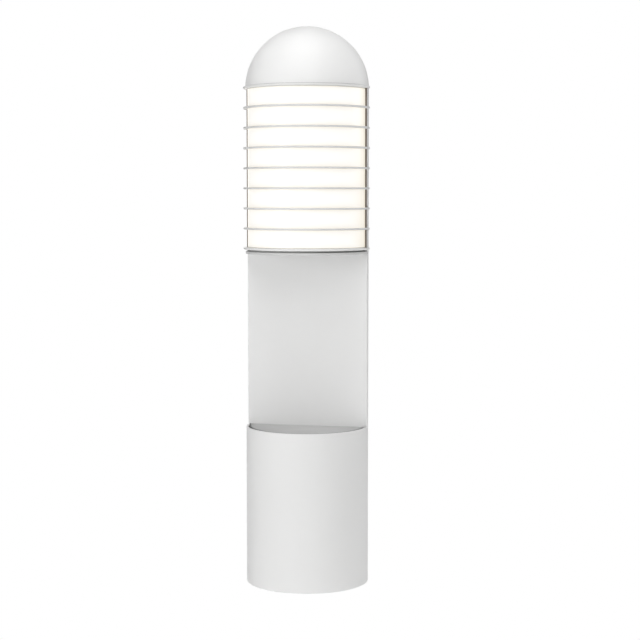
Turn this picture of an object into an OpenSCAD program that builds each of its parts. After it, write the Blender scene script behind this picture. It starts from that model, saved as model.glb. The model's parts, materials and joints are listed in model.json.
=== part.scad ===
// Louvred bollard light, in millimetres, +Z up.
// The origin is the centre of the anchor bolt circle, on the ground.
// The open face and the louvres look along -Y, and the closed shell is on the +Y side.

/* [Housing] */
// Outer diameter of the round housing tube
tube_d = 124; // [120:1:130]
// Wall thickness of the tube and the dome
wall = 2; // [1.8:0.1:3]
// Height of the full round base
base_h = 159.3; // [150:0.1:180]
// Height of the open face, from the base's rim to the soffit
face_h = 175.4; // [173:0.1:240]
// Thickness of the face panel
panel_t = 2; // [1.5:0.1:2.5]
// Width of the shadow gap between the deck and the base's wall
deck_gap = 2; // [1:0.1:4]
// Depth of the deck's top below the rim
deck_drop = 0.2; // [0:0.1:3]
// Bevel on the base's rim
rim_bevel = 0.6; // [0.2:0.1:0.8]

/* [Head] */
// Thickness of the soffit plate
soffit_t = 2.2; // [2:0.1:3]
// Height of the dark joint between the soffit and the lowest louvre
joint_h = 1.9; // [1.5:0.1:3]
// How far the dark joint is set back from the tube's outside
joint_setback = 3.8; // [3:0.1:5]
// Number of louvres between the two end plates
louvre_count = 7; // [5:1:9]
// Distance from one louvre to the next
louvre_pitch = 20.05; // [18:0.05:24]
// Thickness of each louvre and end plate
louvre_t = 2; // [1.5:0.1:3]
// How far the louvres stand out past the tube
louvre_overhang = 2.2; // [1.5:0.1:6]
// How far the shell's edges come forward of the face panel in the head
lip = 3.5; // [2:0.1:5]
// Thickness of the brown trim on the shell's edges
trim_t = 0.9; // [0.6:0.1:1.5]
// Thickness of the opal diffuser
diffuser_t = 2.4; // [2:0.1:3]
// Thickness of the gasket under the dome
dome_gasket_t = 0.5; // [0.4:0.1:1.5]
// Height of the dome above its gasket
dome_h = 59.5; // [56:0.5:60]

/* [Anchor] */
// Thickness of the anchor's plate
anchor_t = 6; // [5:0.5:10]
// Height of the anchor, to the top of its ring
anchor_h = 36; // [30:1:45]
// Diameter of the circle of anchor bolts
bolt_circle_d = 80; // [70:1:84]
// Diameter of the anchor bolt holes
bolt_hole_d = 9; // [7:0.5:11]
// Diameter of the conduit hole
conduit_d = 28; // [20:1:34]
// Height of the set screws above the ground
set_screw_z = 20; // [16:1:24]

/* [Lamp] */
// Thickness of the plate that carries the LED boards
carrier_t = 3; // [2:0.1:4]
// Width of each LED board
board_w = 14; // [10:0.5:14]
// Distance from one LED board to the next
board_pitch = 34; // [30:1:36]
// Number of LED packages on each board
package_count = 10; // [6:1:12]

/* [Hidden] */
$fn = 96;

// Clearances: a screw in its thread, pieces that are set together, the tube on its anchor
thread_fit = 0.05;
play = 0.1;
anchor_play = 0.4;

// Radii across the tube
tube_r = tube_d / 2;
bore_r = tube_r - wall;
anchor_r = bore_r - anchor_play;
deck_r = bore_r - deck_gap;
inner_plate_r = bore_r - 0.2;
diffuser_r = bore_r - 0.2;
slot_r = bore_r + 1;
louvre_r = tube_r + louvre_overhang;
trim_r = tube_r - 0.3;

// Radii of the dome's sphere and its hollow, and how far their centre lies below the dome's edge
dome_r = (tube_r * tube_r + dome_h * dome_h) / (2 * dome_h);
dome_bore_r = dome_r - wall;
dome_sink = dome_r - dome_h;

// Height of the silicone seals above and below the diffuser
seal_t = 0.8;

// Heights up the light
soffit_z = base_h + face_h;
joint_z = soffit_z + soffit_t;
bottom_plate_z = joint_z + joint_h;
top_plate_z = bottom_plate_z + (louvre_count + 1) * louvre_pitch;
head_top = top_plate_z + louvre_t;
dome_z = head_top + dome_gasket_t;
lamp_z0 = bottom_plate_z + louvre_t;
lamp_h = top_plate_z - lamp_z0;
deck_z = base_h - deck_drop;

// Metric screws: shank radius, head radius, head height
M3 = [1.5, 2.75, 1.8];
M4 = [2, 3.8, 2.4];
M5 = [2.5, 4.5, 3];
clear_r4 = M4[0] + 0.2;
m4_nut_af = 7;
m4_nut_t = 3.2;

// Anchor ring, inside the bosses that hold the set screws
anchor_wall = 6;
ring_gap = 0.5;
screw_boss_h = 4;
screw_boss_r = 6;
ring_r = bore_r - screw_boss_h - ring_gap;

// Set screws: how far they lie below the tube's surface, their point's bevel and their socket
set_screw_r0 = ring_r + thread_fit;
set_screw_sunk = 0.3;
set_screw_len = tube_r - set_screw_sunk - set_screw_r0;
set_screw_point = 0.8;
socket_r = 1.45;
socket_h = 2.5;
set_screw_angles = [150, 90, 30];
screw_angle_left = set_screw_angles[0];
screw_angle_rear = set_screw_angles[1];
screw_angle_right = set_screw_angles[2];

// Lugs welded inside the shell
lug_h = 14;
panel_lug_x = tube_r - 9;
panel_lug_zs = [for (f = [0.12, 0.5, 0.88]) base_h + f * face_h];
carrier_lug_x = tube_r - 9.5;
carrier_lug_zs = [for (f = [0.1, 0.5, 0.9]) lamp_z0 + f * lamp_h];
lug_t = 2;
carrier_lug_t = 2.5;
shelf_lug_t = 3.5;

// Tie rods, from the shelf lugs up into the dome's bosses
rod_spots = [[-tube_r + 17, 14], [tube_r - 17, 14], [0, tube_r - 12]];
rod_r = M4[0];
boss_r = 5;
boss_thread = 12;
washer_t = 1;
rod_z0 = soffit_z - shelf_lug_t - washer_t - m4_nut_t - 2;

// Tongue of the face panel inside the base, with the deck's flange in front of it
tongue_h = 36;
tongue_half_w = bore_r - 1;
deck_t = 2;
flange_h = 30;
deck_screw_xs = [-35, 0, 35];
deck_screw_z = base_h - 19;

// LED boards
board_t = 1.6;
board_margin = 9;
board_count = 3;
board_h = lamp_h - 2 * board_margin;
board_z = lamp_z0 + board_margin;
board_screw_inset = 4.5;
package_w = 3;
package_t = 0.8;

// Driver, standing on its bracket behind the face panel
bracket_t = 1.6;
bracket_w = 64;
bracket_h = 164;
bracket_z = base_h + 3;
driver_y = panel_t + bracket_t;
driver_w = 40;
driver_d = 28;
driver_wall = 1.6;
driver_cap_h = 8;
driver_case_h = 124;
driver_ear_h = 9;
driver_ear_t = 3;
driver_case_z = bracket_z + 3 + driver_ear_h + driver_cap_h;
bracket_stud_x = 27;
bracket_stud_zs = [bracket_z + 7, bracket_z + bracket_h - 7];
ear_screw_x = 12;

// Leads
lead_r = 2.6;
lead_x = 14;
lead_y = 20;
lead_bend = 12;
lead_hole_r = 2.75;
carrier_hole_z = lamp_z0 + 17;
grommet_r = 6;
grommet_flange_r = 8.5;
grommet_flange_t = 1.5;
small_grommet_r = 5;
small_flange_r = 6.4;
small_flange_t = 1;

// Terminal bracket and block in the base
terminal_z = 92;
terminal_w = 80;
terminal_d = 28;
block_w = 44;
block_d = 18;
block_h = 16;
block_poles = 3;
earth_spot = [30, driver_y, terminal_z + 12];

function louvre_z(i) = bottom_plate_z + i * louvre_pitch;
function board_x(i) = (i - (board_count + 1) / 2) * board_pitch;
function board_screw_zs() = [board_z + board_screw_inset, board_z + board_h - board_screw_inset];

// ---- Shared shapes ----

// Flat ring in plan
module annulus(r_out, r_in) difference() {
    circle(r = r_out);
    circle(r = r_in);
}

// Everything in plan with y below at
module ahead_of(at) translate([-tube_d, at - tube_d]) square([2 * tube_d, tube_d]);

// Everything in plan with y above at
module behind(at) translate([-tube_d, at]) square([2 * tube_d, tube_d]);

// Block in front of y = at, from height z up
module front_block(at, z, h) translate([0, 0, z]) linear_extrude(h) ahead_of(at);

// Turns +Z to face the front or the rear, at a point
module facing_front(p) translate(p) rotate([90, 0, 0]) children();
module facing_rear(p) translate(p) rotate([-90, 0, 0]) children();

// Pan head screw: the head stands on z = 0 and the shank goes down
module pan_screw(size, length) difference() {
    union() {
        translate([0, 0, -length]) cylinder(r = size[0], h = length + 0.5);
        cylinder(r = size[1], h = size[2]);
    }
    translate([0, 0, size[2] * 0.45]) cylinder(r = size[0] * 0.7, h = size[2], $fn = 6);
}

// Hexagon nut for an M4 thread, standing on z = 0
module m4_nut() difference() {
    cylinder(d = m4_nut_af / cos(30), h = m4_nut_t, $fn = 6);
    translate([0, 0, -1]) cylinder(r = M4[0] + thread_fit, h = m4_nut_t + 2);
}

// Disc with bevelled rim edges, standing on z = 0
module rimmed_disc(r, t, bevel) rotate_extrude()
    polygon([[0, 0], [r - bevel, 0], [r, bevel], [r, t - bevel], [r - bevel, t], [0, t]]);

// Rubber grommet along +Z from z = 0, for a wall of thickness t
module grommet(r, flange_r, flange_t, t) difference() {
    union() {
        translate([0, 0, -flange_t]) cylinder(r = flange_r, h = flange_t);
        translate([0, 0, -flange_t]) cylinder(r = r - thread_fit, h = t + 2 * flange_t);
        translate([0, 0, t]) cylinder(r = flange_r, h = flange_t);
    }
    translate([0, 0, -flange_t - 1]) cylinder(r = lead_hole_r, h = t + 2 * flange_t + 2);
}

// Holes through the head's plates for the tie rods and the lead
module rod_holes() for (p = rod_spots) translate(p) circle(r = rod_r + 0.2);
module lead_hole() translate([lead_x, lead_y]) circle(r = grommet_r);

// ---- Anchor ----

// Plate that centres the tube, with the ring that the set screws bear on
module anchor_base() color("#9A9DA0") difference() {
    rotate_extrude() polygon([
        [conduit_d / 2, 0], [anchor_r, 0], [anchor_r, anchor_t - 1], [anchor_r - 1, anchor_t],
        [ring_r, anchor_t], [ring_r, anchor_h - 1], [ring_r - 1, anchor_h],
        [ring_r - anchor_wall, anchor_h], [ring_r - anchor_wall, anchor_t], [conduit_d / 2, anchor_t]
    ]);
    for (a = [45:90:315]) rotate([0, 0, a])
        translate([bolt_circle_d / 2, 0, -1]) cylinder(d = bolt_hole_d, h = anchor_t + 2);
}

// Puts +Z along the set screw's outward direction, with z = 0 at the tube's axis
module along_set_screw(angle) rotate([0, 0, angle]) translate([0, 0, set_screw_z])
    rotate([0, 90, 0]) children();

module set_screw(angle) color("#4A4B4D") along_set_screw(angle)
    translate([0, 0, set_screw_r0]) difference() {
        rotate_extrude() polygon([
            [0, 0], [M5[0] - set_screw_point, 0], [M5[0], set_screw_point],
            [M5[0], set_screw_len], [0, set_screw_len]
        ]);
        translate([0, 0, set_screw_len - socket_h]) cylinder(r = socket_r, h = socket_h + 1, $fn = 6);
    }

// ---- Housing ----

// Slot in the lip for one louvre's ends
module louvre_slot(z) translate([0, 0, z]) linear_extrude(louvre_t + play) intersection() {
    annulus(louvre_r + 1, slot_r);
    ahead_of(play);
    behind(-lip - 1);
}

// Bevels on the outer and inner edges of the base's front rim
module rim_bevels() intersection() {
    rotate_extrude() {
        translate([tube_r, base_h]) polygon([[0.1, -rim_bevel - 0.1], [0.1, 0.1], [-rim_bevel - 0.1, 0.1]]);
        translate([bore_r, base_h]) polygon([[-0.1, -rim_bevel - 0.1], [-0.1, 0.1], [rim_bevel + 0.1, 0.1]]);
    }
    front_block(panel_t, base_h - 1, 2);
}

// Lug that stands in from the wall on both sides, behind y, with its hole along Y
module side_lugs(x, y, z, t) for (side = [-1, 1])
    translate([side > 0 ? x - 6 : -bore_r - 0.7, y, z - lug_h / 2]) cube([bore_r + 6.7 - x, t, lug_h]);

module shelf_lugs() intersection() {
    translate([0, 0, soffit_z - shelf_lug_t]) linear_extrude(shelf_lug_t) {
        for (side = [-1, 1]) translate([side * (tube_r - 12) - 13, 7]) square([26, 14]);
        translate([-7, tube_r - 19]) square([14, 26]);
    }
    cylinder(r = bore_r + wall / 2, h = head_top);
}

module housing_tube() color("#E4E4E2") difference() {
    union() {
        difference() {
            cylinder(r = tube_r, h = head_top);
            translate([0, 0, -1]) cylinder(r = bore_r, h = head_top + 2);
        }
        for (z = panel_lug_zs) side_lugs(panel_lug_x, panel_t, z, lug_t);
        for (z = carrier_lug_zs) side_lugs(carrier_lug_x, carrier_t, z, carrier_lug_t);
        shelf_lugs();
        for (a = set_screw_angles) along_set_screw(a)
            translate([0, 0, bore_r - screw_boss_h]) cylinder(r = screw_boss_r, h = screw_boss_h + 0.5);
    }
    front_block(panel_t, base_h, joint_z - base_h);
    front_block(-lip, joint_z - 0.01, head_top);
    rim_bevels();
    for (i = [0:louvre_count + 1]) louvre_slot(louvre_z(i));
    for (a = set_screw_angles) along_set_screw(a)
        translate([0, 0, ring_r]) cylinder(r = M5[0] + thread_fit, h = 2 * screw_boss_h + wall);
    for (z = panel_lug_zs, side = [-1, 1])
        facing_rear([side * panel_lug_x, 0, z]) cylinder(r = clear_r4, h = 10);
    for (z = carrier_lug_zs, side = [-1, 1])
        facing_rear([side * carrier_lug_x, 0, z]) cylinder(r = M4[0] + thread_fit, h = 10);
    for (p = rod_spots) translate([p[0], p[1], soffit_z - 10]) cylinder(r = rod_r + 0.2, h = 12);
}

module face_panel() color("#E4E4E2") difference() {
    union() {
        translate([0, 0, base_h]) linear_extrude(face_h) intersection() {
            circle(r = tube_r);
            polygon([
                [-tube_r + rim_bevel, 0], [tube_r - rim_bevel, 0], [tube_r, rim_bevel],
                [tube_r, panel_t], [-tube_r, panel_t], [-tube_r, rim_bevel]
            ]);
        }
        translate([-tongue_half_w, 0, base_h - tongue_h]) cube([2 * tongue_half_w, panel_t, tongue_h + 1]);
        for (z = panel_lug_zs, side = [-1, 1])
            facing_rear([side * panel_lug_x, 1, z]) cylinder(r = M4[0], h = 8);
        for (z = bracket_stud_zs, side = [-1, 1])
            facing_rear([side * bracket_stud_x, 1, z]) cylinder(r = M4[0], h = 8);
    }
    for (x = deck_screw_xs) facing_rear([x, -1, deck_screw_z]) cylinder(r = clear_r4, h = 5);
}

module deck_plate() color("#D6D6D4") difference() {
    union() {
        translate([0, 0, deck_z - deck_t]) linear_extrude(deck_t) intersection() {
            circle(r = deck_r);
            ahead_of(0);
        }
        translate([-tongue_half_w + 10, -deck_t, deck_z - flange_h])
            cube([2 * tongue_half_w - 20, deck_t, flange_h]);
    }
    for (x = deck_screw_xs) facing_rear([x, -deck_t - 1, deck_screw_z]) cylinder(r = clear_r4, h = 5);
}

module soffit_plate() color("#E4E4E2") translate([0, 0, soffit_z]) linear_extrude(soffit_t) difference() {
    union() {
        circle(r = inner_plate_r);
        intersection() {
            circle(r = tube_r);
            ahead_of(panel_t);
        }
    }
    rod_holes();
    lead_hole();
}

module panel_nuts() color("#B9BBBD") for (z = panel_lug_zs, side = [-1, 1])
    facing_rear([side * panel_lug_x, panel_t + lug_t, z]) m4_nut();

module deck_screws() color("#B9BBBD") for (x = deck_screw_xs)
    facing_front([x, -deck_t, deck_screw_z]) pan_screw(M4, deck_t + driver_y + m4_nut_t + 1);

module deck_nuts() color("#B9BBBD") for (x = deck_screw_xs)
    facing_rear([x, driver_y, deck_screw_z]) m4_nut();

// ---- Head ----

module head_gasket() color("#7A7A78") translate([0, 0, joint_z]) linear_extrude(joint_h) difference() {
    circle(r = tube_r - joint_setback);
    rod_holes();
    lead_hole();
}

// Plan of the louvre's two ends, which are rounded and lie in the lip's slots
module louvre_ends() {
    end_w = louvre_r - slot_r - play;
    mid_r = louvre_r - end_w / 2;
    end_a = asin(end_w / 2 / mid_r);
    reach = 2 * tube_d;
    intersection() {
        annulus(louvre_r, slot_r + play);
        polygon([
            [0, 0], reach * [cos(end_a), -sin(end_a)], [reach, -reach],
            [-reach, -reach], reach * [-cos(end_a), -sin(end_a)]
        ]);
    }
    for (side = [-1, 1]) translate(mid_r * [side * cos(end_a), -sin(end_a)]) circle(d = end_w);
}

module louvre_ring(i) color("#DEDEDC") translate([0, 0, louvre_z(i)]) intersection() {
    rimmed_disc(louvre_r, louvre_t, 0.3);
    linear_extrude(louvre_t) {
        louvre_ends();
        intersection() {
            annulus(louvre_r, diffuser_r + 0.3);
            ahead_of(-lip - trim_t - play);
        }
    }
}

// Plate that closes one end of the lamp: its front rim is a louvre
module end_plate(z) color("#DEDEDC") translate([0, 0, z]) intersection() {
    rimmed_disc(louvre_r, louvre_t, 0.3);
    linear_extrude(louvre_t) difference() {
        union() {
            louvre_ends();
            circle(r = inner_plate_r);
            intersection() {
                circle(r = louvre_r);
                ahead_of(-lip - play);
            }
        }
        rod_holes();
        if (z < lamp_z0) lead_hole();
    }
}

module diffuser_part(r_out, r_in, z, h) translate([0, 0, z]) linear_extrude(h) intersection() {
    annulus(r_out, r_in);
    ahead_of(0);
}

module diffuser() color("#FFFBEE")
    diffuser_part(diffuser_r, diffuser_r - diffuser_t, lamp_z0 + seal_t, lamp_h - 2 * seal_t);

module diffuser_seal(z) color("#F2F0EA") diffuser_part(diffuser_r - 0.2, diffuser_r - diffuser_t - 0.4, z, seal_t);

// Trim strip on one of the lip's front edges, notched for the louvres
module edge_trim(side) color("#6E5F52") difference() {
    translate([0, 0, lamp_z0]) linear_extrude(lamp_h) intersection() {
        annulus(trim_r, bore_r);
        ahead_of(-lip);
        behind(-lip - trim_t);
        translate([side > 0 ? 0 : -tube_d, -tube_d / 2]) square([tube_d, tube_d]);
    }
    for (i = [1:louvre_count]) translate([0, 0, louvre_z(i) - play / 2])
        linear_extrude(louvre_t + play) annulus(tube_r + 1, slot_r);
}

module dome_gasket() color("#7A7A78") translate([0, 0, head_top]) linear_extrude(dome_gasket_t)
    annulus(tube_r - 0.5, tube_r - 9.5);

// Ball around the centre of the dome's sphere
module dome_ball(r) translate([0, 0, -dome_sink]) sphere(r = r);

// Flange and threaded bosses inside the dome
module dome_inside() intersection() {
    union() {
        linear_extrude(3) annulus(tube_r, tube_r - 7);
        for (p = rod_spots) translate(p) cylinder(r = boss_r, h = tube_r);
    }
    dome_ball(dome_r - wall / 2);
}

module dome_cap() color("#E8E8E6") translate([0, 0, dome_z]) difference() {
    intersection() {
        union() {
            difference() {
                dome_ball(dome_r);
                dome_ball(dome_bore_r);
            }
            dome_inside();
        }
        translate([-tube_d, -tube_d, 0]) cube(2 * tube_d);
    }
    for (p = rod_spots) translate([p[0], p[1], -1]) cylinder(r = rod_r + thread_fit, h = boss_thread + 1);
}

module tie_rods() color("#B9BBBD") for (p = rod_spots)
    translate([p[0], p[1], rod_z0]) cylinder(r = rod_r, h = dome_z + boss_thread - 1 - rod_z0);

module tie_rod_washers() color("#B9BBBD") for (p = rod_spots)
    translate([p[0], p[1], soffit_z - shelf_lug_t - washer_t]) linear_extrude(washer_t)
        annulus(4.5, rod_r + 0.2);

module tie_rod_nuts() color("#B9BBBD") for (p = rod_spots)
    translate([p[0], p[1], soffit_z - shelf_lug_t - washer_t - m4_nut_t]) m4_nut();

// ---- Lamp ----

module led_carrier() color("#C9CCCE") difference() {
    translate([-inner_plate_r + 0.2, 0, lamp_z0]) cube([2 * inner_plate_r - 0.4, carrier_t, lamp_h]);
    for (z = carrier_lug_zs, side = [-1, 1])
        facing_rear([side * carrier_lug_x, -1, z]) cylinder(r = clear_r4, h = carrier_t + 2);
    for (i = [1:board_count], z = board_screw_zs())
        facing_rear([board_x(i), -1, z]) cylinder(r = M3[0] + thread_fit, h = carrier_t + 2);
    facing_rear([lead_x, -1, carrier_hole_z]) cylinder(r = small_grommet_r, h = carrier_t + 2);
}

module carrier_screws() color("#B9BBBD") for (z = carrier_lug_zs, side = [-1, 1])
    facing_front([side * carrier_lug_x, 0, z]) pan_screw(M4, carrier_t + carrier_lug_t + 1.5);

module led_board(i) color("#F4F5F2") difference() {
    translate([board_x(i) - board_w / 2, -board_t, board_z]) cube([board_w, board_t, board_h]);
    for (z = board_screw_zs())
        facing_rear([board_x(i), -board_t - 1, z]) cylinder(r = M3[0] + 0.1, h = board_t + 2);
}

module led_packages() color("#F3D77A") {
    first_z = board_z + 12;
    step = (board_h - 24) / (package_count - 1);
    for (i = [1:board_count], k = [0:package_count - 1])
        translate([board_x(i) - package_w / 2, -board_t - package_t, first_z + k * step - package_w / 2])
            cube([package_w, package_t, package_w]);
}

module board_screws() color("#B9BBBD") for (i = [1:board_count], z = board_screw_zs())
    facing_front([board_x(i), -board_t, z]) pan_screw(M3, board_t + carrier_t);

// Short insulated links between neighbouring boards, near their upper ends
module board_jumpers() color("#F0F0F0") for (i = [1:board_count - 1])
    translate([board_x(i) + board_w / 2 - 2, -board_t - 0.8, board_z + board_h - 9])
        rotate([0, 90, 0]) cylinder(r = 0.8, h = board_pitch - board_w + 4);

// ---- Driver and wiring ----

module driver_bracket() color("#B4B7B9") difference() {
    translate([-bracket_w / 2, panel_t, bracket_z]) cube([bracket_w, bracket_t, bracket_h]);
    for (z = bracket_stud_zs, side = [-1, 1])
        facing_rear([side * bracket_stud_x, 0, z]) cylinder(r = clear_r4, h = 10);
    for (z = ear_screw_zs(), side = [-1, 1])
        facing_rear([side * ear_screw_x, 0, z]) cylinder(r = M4[0] + thread_fit, h = 10);
}

module driver_nuts() color("#B9BBBD") for (z = bracket_stud_zs, side = [-1, 1])
    facing_rear([side * bracket_stud_x, driver_y, z]) m4_nut();

function ear_screw_zs() = [
    driver_case_z - driver_cap_h - driver_ear_h / 2,
    driver_case_z + driver_case_h + driver_cap_h + driver_ear_h / 2
];

module driver_case() color("#DADBD8") translate([0, driver_y + driver_d / 2, driver_case_z])
    linear_extrude(driver_case_h) difference() {
        square([driver_w, driver_d], center = true);
        square([driver_w - 2 * driver_wall, driver_d - 2 * driver_wall], center = true);
    }

// End cap of the driver standing up from z = 0, with its ear beyond it
module driver_cap() difference() {
    union() {
        translate([-driver_w / 2, driver_y, 0]) cube([driver_w, driver_d, driver_cap_h]);
        translate([-driver_w / 2, driver_y, 0]) cube([driver_w, driver_ear_t, driver_cap_h + driver_ear_h]);
    }
    translate([-driver_w / 2 + 3, driver_y + 5, -1]) cube([driver_w - 6, driver_d - 8, driver_cap_h - 2]);
    for (side = [-1, 1]) facing_rear([side * ear_screw_x, 0, driver_cap_h + driver_ear_h / 2])
        cylinder(r = clear_r4, h = 10);
}

module driver_cap_top() color("#3A3B3D") translate([0, 0, driver_case_z + driver_case_h]) driver_cap();

module driver_cap_bottom() color("#3A3B3D") translate([0, 0, driver_case_z]) mirror([0, 0, 1]) driver_cap();

// Circuit board of the driver with its transformer and capacitors, held by the case's walls
module driver_board() color("#2E6B45") translate([0, driver_y + 6, driver_case_z + 3]) {
    half_w = driver_w / 2 - driver_wall;
    translate([-half_w, 0, 0]) cube([2 * half_w, 1.6, driver_case_h - 6]);
    translate([-10, 1, 44]) cube([20, 15, 24]);
    for (z = [16, 32]) facing_rear([-8, 1, z]) cylinder(r = 5, h = 14);
    for (z = [84, 100]) facing_rear([7, 1, z]) cylinder(r = 4, h = 12);
}

module driver_screws() color("#B9BBBD") for (z = ear_screw_zs(), side = [-1, 1])
    facing_rear([side * ear_screw_x, driver_y + driver_ear_t, z])
        pan_screw(M4, driver_ear_t + bracket_t - 0.1);

module lead_grommet() color("#2B2A29") translate([lead_x, lead_y, soffit_z])
    grommet(grommet_r, grommet_flange_r, grommet_flange_t, lamp_z0 - soffit_z);

module carrier_grommet() color("#2B2A29") facing_rear([lead_x, 0, carrier_hole_z])
    grommet(small_grommet_r, small_flange_r, small_flange_t, carrier_t);

// Lead from the driver up through the head's plates, then forward through the carrier
module led_lead() color("#E9E9E6") translate([lead_x, lead_y, 0]) {
    start_z = driver_case_z + driver_case_h + driver_cap_h;
    bend_z = carrier_hole_z - lead_bend;
    translate([0, 0, start_z]) cylinder(r = lead_r, h = bend_z - start_z);
    translate([0, -lead_bend, bend_z]) rotate([90, 0, 90])
        rotate_extrude(angle = 90) translate([lead_bend, 0]) circle(r = lead_r);
    translate([0, -lead_bend, carrier_hole_z]) rotate([90, 0, 0])
        cylinder(r = lead_r, h = lead_y - lead_bend + small_flange_t);
}

module lead_connector() color("#F4F5F2")
    translate([lead_x - 6, -small_flange_t - 6, carrier_hole_z - 6]) cube([12, 6, 12]);

module supply_lead() color("#E9E9E6") {
    start_z = terminal_z + block_h;
    translate([lead_x, lead_y, start_z])
        cylinder(r = lead_r, h = driver_case_z - driver_cap_h - start_z);
}

module terminal_bracket() color("#B4B7B9") difference() {
    union() {
        translate([-terminal_w / 2, panel_t, terminal_z - bracket_t])
            cube([terminal_w, bracket_t, base_h - 6 - terminal_z]);
        translate([-terminal_w / 2, panel_t, terminal_z - bracket_t]) cube([terminal_w, terminal_d, bracket_t]);
    }
    for (x = deck_screw_xs) facing_rear([x, 0, deck_screw_z]) cylinder(r = clear_r4, h = 10);
    facing_rear([earth_spot[0], 0, earth_spot[2]]) cylinder(r = M5[0] + thread_fit, h = 10);
}

// Terminal block with a wire pocket under each pole's screw
module terminal_block() color("#EDEBE2") difference() {
    translate([-block_w / 2, driver_y + 5, terminal_z]) cube([block_w, block_d, block_h]);
    for (k = [0:block_poles - 1]) {
        x = (k - 1) * block_w / block_poles;
        facing_rear([x, driver_y + 5 + block_d - 6, terminal_z + 10]) cylinder(r = 3.2, h = 8);
        translate([x - 3.5, driver_y + 5 + block_d - 6, terminal_z + 1.5]) cube([7, 8, 4]);
    }
}

module terminal_screws() color("#C8A24A") for (k = [0:block_poles - 1])
    facing_rear([(k - 1) * block_w / block_poles, driver_y + 5 + block_d - 6, terminal_z + 10])
        difference() {
            cylinder(r = 3, h = 4);
            translate([-0.5, -4, 3]) cube([1, 8, 2]);
        }

module earth_screw() color("#C8A24A")
    facing_rear(earth_spot + [0, 1, 0]) pan_screw(M5, 8);

module earth_washer() color("#C8A24A") facing_rear(earth_spot) linear_extrude(1)
    annulus(5.5, M5[0] + 0.1);

// ---- Nodes ----

anchor_base();
set_screw(screw_angle_left);  // set_screw_left
set_screw(screw_angle_rear);  // set_screw_rear
set_screw(screw_angle_right);  // set_screw_right
housing_tube();
face_panel();
deck_plate();
soffit_plate();
head_gasket();
end_plate(bottom_plate_z);  // bottom_plate
for (i = [1:louvre_count])
    louvre_ring(i);
end_plate(top_plate_z);  // top_plate
dome_gasket();
dome_cap();
diffuser();
diffuser_seal(lamp_z0);  // diffuser_seal_bottom
diffuser_seal(top_plate_z - seal_t);  // diffuser_seal_top
edge_trim(-1);  // edge_trim_left
edge_trim(1);  // edge_trim_right
led_carrier();
carrier_screws();
for (i = [1:board_count])
    led_board(i);
led_packages();
board_screws();
board_jumpers();
tie_rods();
tie_rod_washers();
tie_rod_nuts();
panel_nuts();
deck_screws();
deck_nuts();
driver_bracket();
driver_nuts();
driver_case();
driver_cap_bottom();
driver_cap_top();
driver_board();
driver_screws();
lead_grommet();
carrier_grommet();
led_lead();
lead_connector();
supply_lead();
terminal_bracket();
terminal_block();
terminal_screws();
earth_screw();
earth_washer();
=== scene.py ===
"""Looks of the louvred bollard light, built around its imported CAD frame."""

import json
import math

import bpy
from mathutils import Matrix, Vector


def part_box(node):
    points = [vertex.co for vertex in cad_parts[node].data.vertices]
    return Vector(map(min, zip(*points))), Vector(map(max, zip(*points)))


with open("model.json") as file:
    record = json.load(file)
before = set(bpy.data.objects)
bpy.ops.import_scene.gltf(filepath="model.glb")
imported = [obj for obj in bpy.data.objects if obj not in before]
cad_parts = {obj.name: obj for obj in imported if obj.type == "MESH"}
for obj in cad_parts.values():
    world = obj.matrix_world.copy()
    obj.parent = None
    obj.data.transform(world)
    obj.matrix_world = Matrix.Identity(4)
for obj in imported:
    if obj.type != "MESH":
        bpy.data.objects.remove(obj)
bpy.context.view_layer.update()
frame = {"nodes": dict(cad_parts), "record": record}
nodes = frame["nodes"]

# ---- Camera ----

# It stands in front and a little to the right, at the height of the face panel, tilted down.
# The pan puts the object slightly left of the picture's middle. Distances in metres, lens in mm.
CAM_DISTANCE = 1.5764
CAM_HEIGHT = 0.3941
CAM_AZIMUTH = math.radians(12)
CAM_PITCH = math.radians(4.615)
CAM_PAN = math.radians(0.469)
CAM_LENS = 87.62

scene = bpy.context.scene
camera = bpy.data.objects.new("camera", bpy.data.cameras.new("camera"))
scene.collection.objects.link(camera)
camera.data.lens = CAM_LENS
camera.data.sensor_width = 36
camera.data.clip_start = 0.05
camera.data.clip_end = 60
camera.location = (
    CAM_DISTANCE * math.sin(CAM_AZIMUTH),
    -CAM_DISTANCE * math.cos(CAM_AZIMUTH),
    CAM_HEIGHT,
)
camera.rotation_euler = (math.pi / 2 - CAM_PITCH, 0, CAM_AZIMUTH - CAM_PAN)
scene.camera = camera
scene.view_settings.view_transform = "Standard"

# ---- Node trees ----


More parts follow.
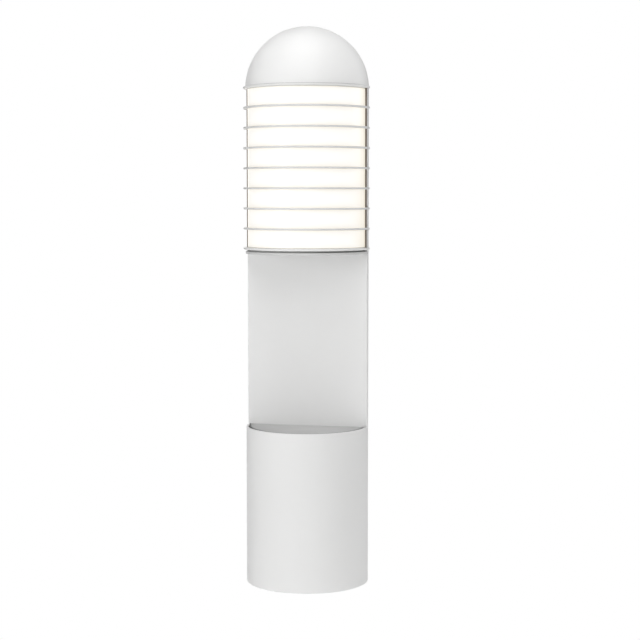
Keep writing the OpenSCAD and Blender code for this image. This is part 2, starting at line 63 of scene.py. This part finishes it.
class Tree:
    """A material's or the world's node tree, with short calls to add nodes."""

    def __init__(self, owner):
        owner.use_nodes = True
        self.tree = owner.node_tree
        self.tree.nodes.clear()

    def add(self, kind, settings=None, **inputs):
        """Adds a node. Inputs named in_0 or Base_Color take a value, a node's output or a node."""
        node = self.tree.nodes.new(kind)
        for key, value in (settings or {}).items():
            setattr(node, key, value)
        for key, value in inputs.items():
            self.plug(node, key, value)
        return node

    def plug(self, node, key, value):
        socket = node.inputs[int(key[3:])] if key.startswith("in_") else node.inputs[key.replace("_", " ")]
        if isinstance(value, bpy.types.Node):
            value = value.outputs[0]
        if isinstance(value, bpy.types.NodeSocket):
            self.tree.links.new(value, socket)
        else:
            socket.default_value = value

    def math(self, operation, a, b=0.0):
        return self.add("ShaderNodeMath", {"operation": operation}, in_0=a, in_1=b)

    def mapped(self, value, low, high, to_low, to_high):
        node = self.add("ShaderNodeMapRange", {"clamp": True})
        inputs = {"Value": value, "From_Min": low, "From_Max": high, "To_Min": to_low, "To_Max": to_high}
        for key, v in inputs.items():
            self.plug(node, key, v)
        return node

    def mix(self, factor, a, b):
        """Mixes two colours, which go into a Mix node's sockets 6 and 7."""
        node = self.add("ShaderNodeMix", {"data_type": "RGBA"}, in_0=factor, in_6=a, in_7=b)
        return node.outputs[2]

    def coords(self, scale=(1, 1, 1)):
        """Object coordinates, in metres, stretched by scale."""
        place = self.add("ShaderNodeTexCoord")
        return self.add("ShaderNodeMapping", Vector=place.outputs["Object"], Scale=scale)

    def from_axis(self):
        """Distance from the tube's axis, in metres."""
        flat = self.add("ShaderNodeVectorMath", {"operation": "LENGTH"}, in_0=self.coords((1, 1, 0)))
        return flat.outputs["Value"]

    def noise(self, scale, detail=2.0, rough=0.5, at=None):
        return self.add(
            "ShaderNodeTexNoise", Vector=at or self.coords(), Scale=scale, Detail=detail, Roughness=rough
        )

    def bump(self, height, strength, distance, normal=None):
        node = self.add("ShaderNodeBump", Height=height, Strength=strength, Distance=distance)
        if normal is not None:
            self.plug(node, "Normal", normal)
        return node

    def end(self, shader):
        self.add("ShaderNodeOutputMaterial", Surface=shader)


def rgb(r, g, b):
    return (r, g, b, 1.0)


def grey(value):
    return rgb(value, value, value)


def tinted(color, factor):
    return rgb(*(c * factor for c in color[:3]))


# Blotches per metre in a finish's colour and in its gloss, and how far the gloss strays
BROAD_SCALE = 14
GLOSS_SCALE = 45
GLOSS_SPREAD = 0.06

# How dark the specks and the worn edges are, next to the finish's own colour
SPECK_TONE = 0.3
WORN_TONE = 0.6

# An edge is worn where its softened normal strays this far from the flat one, as a cosine
WORN_FROM, WORN_TO = 0.97, 0.75


def surface(name, color, rough, variation=0.03, grain=900, bump=0.1, depth=0.0001, metal=0.0,
            edge=0.0002, stretch=(1, 1, 1), wear=0.0, specular=0.5, speck=0.1, painted_shade=()):
    """A finish with mottled colour, uneven gloss, a fine grain and softened edges.

    Lengths are in metres: depth of the grain, radius of the softened edges. Each painted shade is the two
    radii from the axis between which the colour darkens as painted shade, and how much of it is left beyond
    them.
    """
    mat = bpy.data.materials.new(name)
    t = Tree(mat)
    broad = t.noise(BROAD_SCALE, 4, 0.6)
    fine = t.noise(grain, 3, 0.55, t.coords(stretch))
    tone = t.mix(t.mapped(broad, 0.3, 0.7, 0, 1), tinted(color, 1 - variation), tinted(color, 1 + variation))
    specks = t.math("MULTIPLY", t.mapped(fine, 0.25, 0.75, 0, 1), speck)
    tone = t.mix(specks, tone, tinted(color, SPECK_TONE))
    soft = t.add("ShaderNodeBevel", {"samples": 6}, Radius=edge)
    if wear:
        normal = t.add("ShaderNodeNewGeometry").outputs["Normal"]
        dot = t.add("ShaderNodeVectorMath", {"operation": "DOT_PRODUCT"}, in_0=soft, in_1=normal)
        on_edge = t.mapped(dot.outputs["Value"], WORN_FROM, WORN_TO, 0, 1)
        worn = t.math("MULTIPLY", on_edge, t.mapped(broad, 0.35, 0.65, 0.2, 1))
        tone = t.mix(t.math("MULTIPLY", worn, wear), tone, tinted(color, WORN_TONE))
    # Painted shade: the colour darkens with the distance from the tube's axis
    for inner, outer, left in painted_shade:
        tone = t.mix(t.mapped(t.from_axis(), inner, outer, 0, 1), tone, tinted(color, left))
    gloss = t.mapped(t.noise(GLOSS_SCALE, 3), 0.3, 0.7, rough - GLOSS_SPREAD, rough + GLOSS_SPREAD)
    shader = t.add(
        "ShaderNodeBsdfPrincipled", Base_Color=tone, Roughness=gloss, Metallic=metal,
        Normal=t.bump(fine, bump, depth, soft),
    )
    shader.inputs["Specular IOR Level"].default_value = specular
    t.end(shader)
    return mat


def put(mat, *names):
    """Gives CAD nodes one material."""
    for name in names:
        mesh = nodes[name].data
        mesh.materials.clear()
        mesh.materials.append(mat)


slot_of = {row["node"]: row["material_slot"] for row in frame["record"]["subparts"]}


def white_paint(name, tone, painted_shade=()):
    return surface(name, rgb(tone, tone, tone * 0.994), 0.5, variation=0.008, grain=1100, bump=0.07,
                   depth=0.00005, edge=0.0003, wear=0.06, specular=0.35, speck=0.015, painted_shade=painted_shade)


# The lamp's glow: its strength, how much of it is left where it is creamier, and its two colours. The
# creamier, dimmer glow is painted shade and a painted warm reflection.
LAMP_STRENGTH = 0.78
CREAM_STRENGTH = 0.9
LAMP_WHITE = rgb(1.0, 0.99, 0.965)
LAMP_CREAM = rgb(1.0, 0.93, 0.80)

# The painted shade and warm reflection start at this share of the way from between two louvres to a louvre,
# or to a side
CREAM_FROM_LOUVRE = 0.35
CREAM_FROM_SIDE = 0.8
CREAM_CURVE = 1.6


def lit_diffuser():
    """Opal acrylic that glows: dimmer and creamier beside the louvres and towards its sides as painted
    shade, with a painted warm reflection of the glow off the louvres.
    """
    mat = bpy.data.materials.new("opal_diffuser")
    t = Tree(mat)
    place = t.add("ShaderNodeTexCoord")
    xyz = t.add("ShaderNodeSeparateXYZ", Vector=place.outputs["Object"])
    low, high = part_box("louvre_ring_1")
    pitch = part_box("louvre_ring_2")[0].z - low.z
    first = (low.z + high.z) / 2
    turns = t.math("DIVIDE", t.math("SUBTRACT", xyz.outputs["Z"], first), pitch)
    near = t.math("MULTIPLY", t.math("ABSOLUTE", t.math("SUBTRACT", t.math("FRACT", turns), 0.5)), 2)
    side = t.math("ABSOLUTE", t.math("DIVIDE", xyz.outputs["X"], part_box("diffuser")[1].x))
    by_louvre = t.mapped(near, CREAM_FROM_LOUVRE, 1.0, 0, 1)
    by_side = t.mapped(side, CREAM_FROM_SIDE, 1.0, 0, 1)
    # Painted shade and painted warm reflection: the glow dims and turns creamier near the louvres and the
    # sides
    painted_glow_shade = t.math("POWER", t.math("MAXIMUM", by_louvre, by_side), CREAM_CURVE)
    tone = t.mix(painted_glow_shade, LAMP_WHITE, LAMP_CREAM)
    cloud = t.mapped(t.noise(60, 3), 0.3, 0.7, 0.985, 1.015)
    glow = t.mapped(painted_glow_shade, 0, 1, LAMP_STRENGTH, LAMP_STRENGTH * CREAM_STRENGTH)
    strength = t.math("MULTIPLY", glow, cloud)
    shader = t.add(
        "ShaderNodeBsdfPrincipled", Base_Color=rgb(0.32, 0.315, 0.30), Roughness=0.32,
        Emission_Color=tone, Emission_Strength=strength,
        Normal=t.bump(t.noise(700, 2), 0.05, 0.00004),
    )
    t.end(shader)
    return mat


MATERIALS = {
    "white_paint": white_paint("white_paint", 0.80),
    "opal_diffuser": lit_diffuser(),
    "brown_trim": surface("brown_trim", rgb(0.20, 0.165, 0.14), 0.6, 0.06, 600, 0.25, stretch=(1, 1, 0.05)),
    "black_rubber": surface("black_rubber", rgb(0.035, 0.034, 0.033), 0.8, 0.15, 1500, 0.4),
    "grey_rubber": surface("grey_rubber", rgb(0.50, 0.50, 0.49), 0.8, 0.08, 1500, 0.3),
    "white_silicone": surface("white_silicone", rgb(0.75, 0.74, 0.70), 0.45, 0.03, 800, 0.1),
    "bare_aluminium": surface("bare_aluminium", rgb(0.56, 0.57, 0.58), 0.34, 0.05, 900, 0.12, metal=1.0,
                              stretch=(1, 1, 0.04)),
    "cast_aluminium": surface("cast_aluminium", rgb(0.42, 0.43, 0.44), 0.55, 0.10, 520, 0.5, 0.0002,
                              metal=0.9, edge=0.0006, wear=0.3),
    "zinc_steel": surface("zinc_steel", rgb(0.60, 0.61, 0.63), 0.30, 0.08, 1400, 0.15, metal=1.0,
                          edge=0.00015),
    "black_steel": surface("black_steel", rgb(0.03, 0.03, 0.032), 0.38, 0.10, 1400, 0.15, metal=0.8,
                           edge=0.00015),
    "brass": surface("brass", rgb(0.60, 0.42, 0.16), 0.28, 0.06, 1200, 0.12, metal=1.0, edge=0.00015),
    "white_board": surface("white_board", rgb(0.80, 0.80, 0.77), 0.35, 0.02, 1600, 0.08),
    "led_phosphor": surface("led_phosphor", rgb(0.85, 0.62, 0.15), 0.4, 0.08, 2500, 0.1),
    "green_board": surface("green_board", rgb(0.01, 0.09, 0.03), 0.35, 0.10, 1600, 0.1),
    "black_plastic": surface("black_plastic", rgb(0.012, 0.012, 0.014), 0.5, 0.10, 1300, 0.3),
    "white_plastic": surface("white_plastic", rgb(0.78, 0.76, 0.70), 0.4, 0.02, 1300, 0.12),
    "lead_jacket": surface("lead_jacket", rgb(0.76, 0.76, 0.73), 0.45, 0.03, 900, 0.12, stretch=(1, 1, 0.2)),
}
for name, mat_slot in slot_of.items():
    put(MATERIALS[mat_slot], name)

# The same white paint in copies: darker on the louvres, the soffit and the deck, which is painted shade, and
# lighter on the dome, which is painted light. The deck also gets painted shade towards its rim.
# Painted shade on the deck: darker from 12 to 55 mm off the axis, and darker still in the last 2 mm by the
# gap at the rim
DECK_PAINTED_SHADE = ((0.012, 0.055, 0.76), (0.0555, 0.0575, 0.5))
put(white_paint("louvre_painted_shade", 0.70), *(name for name in nodes if name.startswith("louvre_ring")))
put(white_paint("plate_paint", 0.80), "bottom_plate", "top_plate")
put(white_paint("soffit_painted_shade", 0.64), "soffit_plate")
put(white_paint("deck_painted_shade", 0.63, DECK_PAINTED_SHADE), "deck_plate")
put(white_paint("dome_painted_light", 0.84), "dome_cap")

# ---- Floor and light ----

FLOOR_GLOW = 0.2
FLOOR_HALF = 4.0
FLOOR_Z = -0.0002


def floor():
    """Pale floor that lights the object from below. The camera sees it as plain white."""
    h = FLOOR_HALF
    mesh = bpy.data.meshes.new("floor")
    mesh.from_pydata([(-h, -h, 0), (h, -h, 0), (h, h, 0), (-h, h, 0)], [], [(0, 1, 2, 3)])
    obj = bpy.data.objects.new("floor", mesh)
    obj.location.z = FLOOR_Z
    scene.collection.objects.link(obj)
    mat = bpy.data.materials.new("floor")
    t = Tree(mat)
    tone = t.mix(t.noise(3, 3), grey(0.84), grey(0.88))
    lit = t.add("ShaderNodeBsdfPrincipled", Base_Color=tone, Roughness=0.9,
                Emission_Color=grey(1), Emission_Strength=FLOOR_GLOW)
    lit.inputs["Specular IOR Level"].default_value = 0.1
    white = t.add("ShaderNodeEmission", Color=grey(1), Strength=1.0)
    path = t.add("ShaderNodeLightPath")
    t.end(t.add("ShaderNodeMixShader", in_0=path.outputs["Is Camera Ray"], in_1=lit, in_2=white))
    mesh.materials.append(mat)


def sky():
    """Surround that the camera sees as plain white and that lights nothing."""
    world = bpy.data.worlds.new("studio")
    scene.world = world
    t = Tree(world)
    path = t.add("ShaderNodeLightPath")
    white = t.add("ShaderNodeBackground", Color=grey(1), Strength=path.outputs["Is Camera Ray"])
    t.add("ShaderNodeOutputWorld", Surface=white)


LIGHT_DISTANCE = 2.2
LIGHT_SIZE = 1.2
LIGHT_AIM = Vector((0, 0, 0.28))

# Azimuth and elevation in degrees, power in watts. Azimuth 0 is in front, positive to the right.
LIGHTS = [
    ("light_key", -5, 42, 8.6),
    ("light_front", 10, 5, 3.2),
    ("light_low_left", -35, 3, 14.0),
    ("light_side_left", -72, 5, 2.8),
    ("light_top", 0, 82, 23.3),
    ("light_top_right", 20, 70, 3.8),
    ("light_high_right", 20, 30, 6.9),
    ("light_side_right", 80, 30, 4.8),
    ("light_back_right", 125, 20, 11.7),
    ("light_back", 200, 6, 7.0),
]


def softbox(name, azimuth, elevation, power):
    """Square area light that faces the middle of the object."""
    data = bpy.data.lights.new(name, "AREA")
    data.shape = "SQUARE"
    data.size = LIGHT_SIZE
    data.energy = power
    obj = bpy.data.objects.new(name, data)
    scene.collection.objects.link(obj)
    a, e = math.radians(azimuth), math.radians(elevation)
    out = Vector((math.sin(a) * math.cos(e), -math.cos(a) * math.cos(e), math.sin(e)))
    obj.location = LIGHT_AIM + out * LIGHT_DISTANCE
    obj.rotation_euler = out.to_track_quat("Z", "Y").to_euler()


floor()
sky()
for row in LIGHTS:
    softbox(*row)
